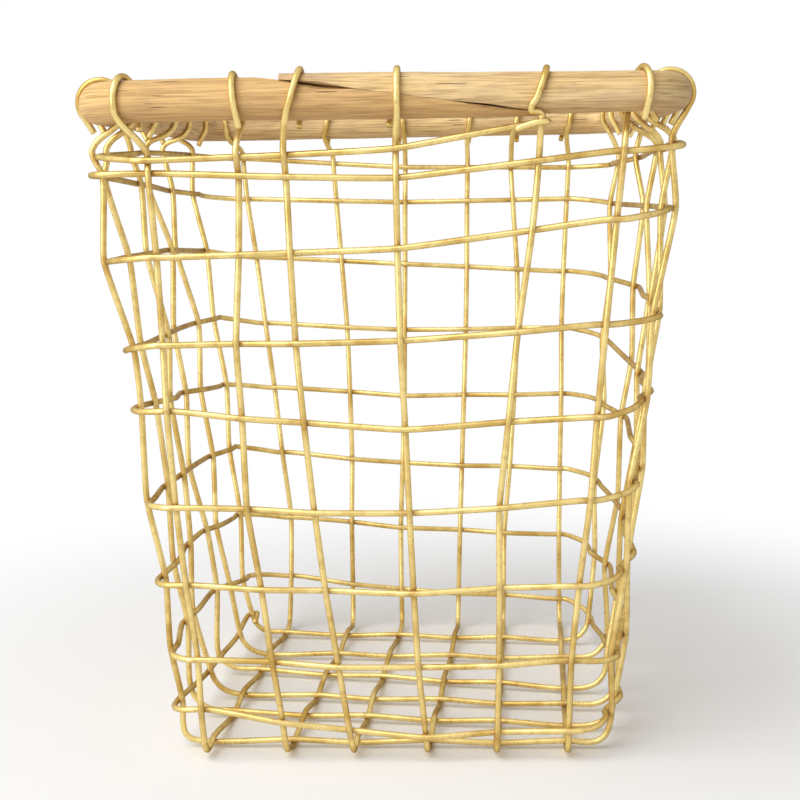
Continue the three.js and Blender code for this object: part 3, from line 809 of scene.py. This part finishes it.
class BasketCaneSettings(bpy.types.PropertyGroup):
    """Finish of the rim cane"""

    colour: bpy.props.FloatVectorProperty(
        name="Cane", description="Main colour of the cane",
        default=(0.79, 0.54, 0.235), min=0.0, max=1.0, subtype="COLOR",
    )
    pale_colour: bpy.props.FloatVectorProperty(
        name="Pale Fibres", description="Colour of the palest fibres",
        default=(0.88, 0.65, 0.32), min=0.0, max=1.0, subtype="COLOR",
    )
    grey_colour: bpy.props.FloatVectorProperty(
        name="Greyed Cane", description="Colour of the weathered patches",
        default=(0.55, 0.37, 0.24), min=0.0, max=1.0, subtype="COLOR",
    )
    aged_colour: bpy.props.FloatVectorProperty(
        name="Aged Cane", description="Colour that the cane takes on towards its older end",
        default=(0.7, 0.41, 0.14), min=0.0, max=1.0, subtype="COLOR",
    )
    # this colour paints the darker streaks and also painted shade on the cane's underside
    streak_and_shade_colour: bpy.props.FloatVectorProperty(
        name="Streaks", description="Colour of the darker streaks along the grain",
        default=(0.34, 0.18, 0.06), min=0.0, max=1.0, subtype="COLOR",
    )
    split_colour: bpy.props.FloatVectorProperty(
        name="Splits", description="Colour inside the fine splits",
        default=(0.05, 0.025, 0.01), min=0.0, max=1.0, subtype="COLOR",
    )


class BasketStageSettings(bpy.types.PropertyGroup):
    """Floor and lights"""

    floor_colour: bpy.props.FloatVectorProperty(
        name="Floor", description="Colour of the floor",
        default=(0.97, 0.97, 0.97), min=0.0, max=1.0, subtype="COLOR",
    )
    key_power: bpy.props.FloatProperty(
        name="Key Light", description="Power of the large light at the upper left",
        default=22.0, min=0.0, unit="POWER",
    )
    sky_level: bpy.props.FloatProperty(
        name="Sky", description="Level of the even light from all round",
        default=0.3, min=0.0, max=1.0,
    )
    side_power: bpy.props.FloatProperty(
        name="Side Light", description="Power of the low soft light at the left",
        default=12.0, min=0.0, unit="POWER",
    )


# ---------------------------------------------------------------- operators


def woven_lines(context):
    """The lines of the wires for the wire size that is set."""
    return WovenLines(context.scene.basket_wire.diameter / MM)


def wire_piece(context, lines, node, points, rings):
    """One finished wire that stands for its node of the frame."""
    piece = bend_wire(node + "_brass", points, lines.wire, rings)
    mark_contacts(piece, lines)
    material = bpy.data.materials.get("satin_brass") or brass_finish(context.scene.basket_wire)
    finish_piece(piece, node, material)


def u_wire_pieces(context, first_wall, second_wall, stem):
    """All U wires between two opposite walls, numbered from 1."""
    lines = woven_lines(context)
    for i in range(WALL_LEGS):
        points = lines.u_wire(first_wall, second_wall, i)
        wire_piece(context, lines, f"{stem}_{i + 1}", points, U_WIRE_RINGS)


class OBJECT_OT_basket_spiral_wire(bpy.types.Operator):
    """Add the wire that winds up round the walls"""

    bl_idname = "object.basket_spiral_wire"
    bl_label = "Spiral Wire"

    def execute(self, context):
        lines = woven_lines(context)
        wire_piece(context, lines, "spiral_wire", lines.spiral(), SPIRAL_RINGS)
        return {"FINISHED"}


class OBJECT_OT_basket_front_to_back_wires(bpy.types.Operator):
    """Add the wires that run down the front, under the floor and up the back"""

    bl_idname = "object.basket_front_to_back_wires"
    bl_label = "Front-to-Back Wires"

    def execute(self, context):
        u_wire_pieces(context, FRONT, BACK, "front_to_back_wire")
        return {"FINISHED"}


class OBJECT_OT_basket_left_to_right_wires(bpy.types.Operator):
    """Add the wires that run down the left wall, through the floor and up the right wall"""

    bl_idname = "object.basket_left_to_right_wires"
    bl_label = "Left-to-Right Wires"

    def execute(self, context):
        u_wire_pieces(context, LEFT, RIGHT, "left_to_right_wire")
        return {"FINISHED"}


class OBJECT_OT_basket_rim_cane(bpy.types.Operator):
    """Add the bent cane rim with the long slanted joint of its two ends"""

    bl_idname = "object.basket_rim_cane"
    bl_label = "Rim Cane"

    def execute(self, context):
        clear_selection()
        # a straight bar, its run along Z, as long as the rim with the joint's overlap
        length = ROUND + JOINT_RIGHT - JOINT_LEFT
        bpy.ops.mesh.primitive_cylinder_add(
            vertices=CANE_SIDES, radius=1, depth=length, location=(0, 0, JOINT_LEFT + length / 2)
        )
        piece = context.object
        piece.name = "rim_cane_peeled"
        piece.data.name = piece.name
        bpy.ops.object.transform_apply(location=True, rotation=True, scale=True)
        bpy.ops.object.mode_set(mode="EDIT")
        bpy.ops.mesh.select_mode(type="EDGE")
        for cuts in CANE_CUTS:
            bpy.ops.mesh.select_all(action="DESELECT")
            bpy.ops.object.mode_set(mode="OBJECT")
            # only the edges along the bar
            for edge in piece.data.edges:
                low, high = (piece.data.vertices[i].co for i in edge.vertices)
                edge.select = abs(low.z - high.z) > 1
            bpy.ops.object.mode_set(mode="EDIT")
            bpy.ops.mesh.subdivide(number_cuts=cuts)
        bpy.ops.object.mode_set(mode="OBJECT")
        self.shape_bar(piece)
        self.cut_slopes(piece)
        self.bend(piece)
        material = bpy.data.materials.get("peeled_cane") or cane_finish(context.scene.basket_cane)
        finish_piece(piece, "rim_cane", material)
        return {"FINISHED"}

    def shape_bar(self, piece):
        """Gives the bar its uneven girth and lifts or lowers its two ends: X points out, Y up."""
        for vertex in piece.data.vertices:
            run = vertex.co.z
            angle = math.atan2(vertex.co.y, vertex.co.x)
            radius = math.hypot(vertex.co.x, vertex.co.y) * cane_girth(run) / 2
            place = Vector((math.cos(angle), math.sin(angle), run / SWELLING_LENGTH))
            radius += sum(height * noise.noise(place * pace) for pace, height in SWELLINGS)
            vertex.co.x = radius * math.cos(angle)
            vertex.co.y = radius * math.sin(angle)
            share = vertex.co.y / CANE_GIRTH[0][1] + 0.5
            above, below = joint_steps(run if run < STRAIGHT / 2 else run - ROUND)
            if run < STRAIGHT / 2:
                vertex.co.y += above * share
            else:
                vertex.co.y -= below * (1 - share)

    def cut_slopes(self, piece):
        """Cuts the two ends to the long slopes that lie on each other."""
        select_only(piece)
        slope = (SEAM_RIGHT_HEIGHT - SEAM_LEFT_HEIGHT) / (JOINT_RIGHT - JOINT_LEFT)
        normal = Vector((0, 1, -slope)).normalized()
        for run, sense in ((JOINT_LEFT, 1), (ROUND + JOINT_LEFT, -1)):
            bpy.ops.object.mode_set(mode="EDIT")
            bpy.ops.mesh.select_all(action="SELECT")
            bpy.ops.mesh.bisect(
                plane_co=(0, SEAM_LEFT_HEIGHT + sense * SEAM_GAP / 2, run),
                plane_no=normal * sense,
                use_fill=True,
                clear_inner=True,
            )
            bpy.ops.object.mode_set(mode="OBJECT")

    def gape(self, co):
        """How far a point of the joint has sprung away from the seam, on the outer side."""
        upper = co.z < STRAIGHT / 2
        run = co.z if upper else co.z - ROUND
        seam = rescale(run, JOINT_LEFT, JOINT_RIGHT, SEAM_LEFT_HEIGHT, SEAM_RIGHT_HEIGHT)
        if not JOINT_LEFT <= run <= JOINT_RIGHT or abs(co.y - seam) > GAPE_DEPTH:
            return 0
        width = 0
        for start, end, most in SEAM_GAPES:
            middle = (start + end) / 2
            width += most * smooth_step(run, start, middle) * smooth_step(-run, -end, -middle)
        near = 1 - smooth_step(abs(co.y - seam), 0, GAPE_DEPTH)
        outer = smooth_step(co.x, 0, GAPE_REACH)
        return width * near * outer * (UPPER_GAPE if upper else UPPER_GAPE - 1)

    def bend(self, piece):
        """Opens the joint, stores each point's place in the straight bar and bends the bar."""
        for vertex in piece.data.vertices:
            vertex.co.y += self.gape(vertex.co)
        grain = piece.data.attributes.new("grain", "FLOAT_VECTOR", "POINT")
        for vertex, value in zip(piece.data.vertices, grain.data):
            value.vector = vertex.co * MM
            centre, out = cane_place(vertex.co.z)
            vertex.co = (centre + out * vertex.co.x + Vector((0, 0, vertex.co.y))) * MM
        select_only(piece)
        bpy.ops.object.mode_set(mode="EDIT")
        bpy.ops.mesh.select_all(action="SELECT")
        bpy.ops.mesh.normals_make_consistent(inside=False)
        bpy.ops.object.mode_set(mode="OBJECT")
        bpy.ops.object.shade_smooth_by_angle(angle=SHARP_EDGE)


class OBJECT_OT_basket_stage(bpy.types.Operator):
    """Add the floor, the lights and the camera"""

    bl_idname = "object.basket_stage"
    bl_label = "Floor, Lights and Camera"

    def execute(self, context):
        look = context.scene.basket_stage
        clear_selection()
        bpy.ops.mesh.primitive_circle_add(
            vertices=FLOOR_SIDES, radius=FLOOR_RADIUS, fill_type="NGON", location=(0, 0, 0)
        )
        floor = context.object
        floor.name = "floor"
        floor.data.materials.append(self.floor_finish(look))
        self.light_world(context.scene, look)
        self.add_light(context.scene, "key_light", look.key_power, *KEY_LIGHT)
        self.add_light(context.scene, "side_light", look.side_power, *SIDE_LIGHT)
        self.add_camera(context.scene)
        context.scene.view_settings.view_transform = "Standard"
        return {"FINISHED"}

    def floor_finish(self, look):
        """A pale floor that keeps the shadow near the basket and is white away from it."""
        material, bench = new_material("pale_floor")
        bench.wire_up(Base_Color=with_alpha(look.floor_colour), Roughness=0.9)
        place = bench.add("ShaderNodeTexCoord").outputs["Object"]
        length = bench.add("ShaderNodeVectorMath", {0: place}, operation="LENGTH")
        away = bench.window(
            length.outputs["Value"], *FLOOR_FADE, interpolation_type="SMOOTHSTEP"
        )
        share = bench.maths("MULTIPLY", away, bench.seen_share())
        lit = bench.shader.outputs[0]
        white = bench.add("ShaderNodeEmission", {"Color": WHITE, "Strength": 1.0}).outputs[0]
        blend = bench.add("ShaderNodeMixShader", {0: share, 1: lit, 2: white}).outputs[0]
        bench.feed(bench.tree.nodes["Material Output"].inputs["Surface"], blend)
        return material

    def light_world(self, scene, look):
        """Even light from all round, seen as white."""
        world = bpy.data.worlds.new("studio")
        scene.world = world
        world.use_nodes = True
        world.node_tree.nodes.clear()
        bench = NodeBench(world.node_tree)
        lit, white = (
            bench.add("ShaderNodeBackground", {"Color": WHITE, "Strength": strength}).outputs[0]
            for strength in (look.sky_level, 1.0)
        )
        share = bench.seen_share()
        blend = bench.add("ShaderNodeMixShader", {0: share, 1: lit, 2: white}).outputs[0]
        bench.add("ShaderNodeOutputWorld", {"Surface": blend})

    def add_light(self, scene, name, power, size, place):
        """A round soft light that points at the basket."""
        lamp = bpy.data.lights.new(name, "AREA")
        lamp.energy = power
        lamp.shape = "DISK"
        lamp.size = size
        light = bpy.data.objects.new(name, lamp)
        light.location = place
        light.rotation_euler = (LIGHT_AIM - Vector(place)).to_track_quat("-Z", "Y").to_euler()
        scene.collection.objects.link(light)

    def add_camera(self, scene):
        """The camera, in front of the basket and a little below its rim."""
        camera = bpy.data.objects.new("camera", bpy.data.cameras.new("camera"))
        camera.data.lens = CAMERA_LENS
        camera.data.sensor_width = CAMERA_SENSOR
        camera.location = CAMERA_PLACE
        turn = (
            Matrix.Rotation(CAMERA_TURN, 3, "Z")
            @ Matrix.Rotation(CAMERA_TILT, 3, "X")
            @ Matrix.Rotation(CAMERA_ROLL, 3, "Z")
        )
        camera.rotation_euler = turn.to_euler()
        scene.collection.objects.link(camera)
        scene.camera = camera


# ---------------------------------------------------------------- panel and start


class VIEW3D_PT_basket(bpy.types.Panel):
    """The basket's settings and pieces"""

    bl_label = "Wire Utensil Basket"
    bl_space_type = "VIEW_3D"
    bl_region_type = "UI"
    bl_category = "Basket"

    def draw(self, context):
        layout = self.layout
        for title, group in (
            ("Wire", context.scene.basket_wire),
            ("Cane", context.scene.basket_cane),
            ("Stage", context.scene.basket_stage),
        ):
            box = layout.box()
            box.label(text=title)
            for name in group.__annotations__:
                box.prop(group, name)
        for operator in OPERATORS:
            layout.operator(operator.bl_idname)


OPERATORS = (
    OBJECT_OT_basket_stage,
    OBJECT_OT_basket_rim_cane,
    OBJECT_OT_basket_spiral_wire,
    OBJECT_OT_basket_front_to_back_wires,
    OBJECT_OT_basket_left_to_right_wires,
)
SETTINGS = {
    "basket_wire": BasketWireSettings,
    "basket_cane": BasketCaneSettings,
    "basket_stage": BasketStageSettings,
}


def register():
    for group in SETTINGS.values():
        bpy.utils.register_class(group)
    for name, group in SETTINGS.items():
        setattr(bpy.types.Scene, name, bpy.props.PointerProperty(type=group))
    for operator in OPERATORS:
        bpy.utils.register_class(operator)
    bpy.utils.register_class(VIEW3D_PT_basket)


def unregister():
    bpy.utils.unregister_class(VIEW3D_PT_basket)
    for operator in reversed(OPERATORS):
        bpy.utils.unregister_class(operator)
    for name in SETTINGS:
        delattr(bpy.types.Scene, name)
    for group in reversed(list(SETTINGS.values())):
        bpy.utils.unregister_class(group)


def main():
    register()
    bpy.ops.object.basket_stage()
    bpy.ops.object.basket_rim_cane()
    bpy.ops.object.basket_spiral_wire()
    bpy.ops.object.basket_front_to_back_wires()
    bpy.ops.object.basket_left_to_right_wires()


if __name__ == "__main__":
    main()
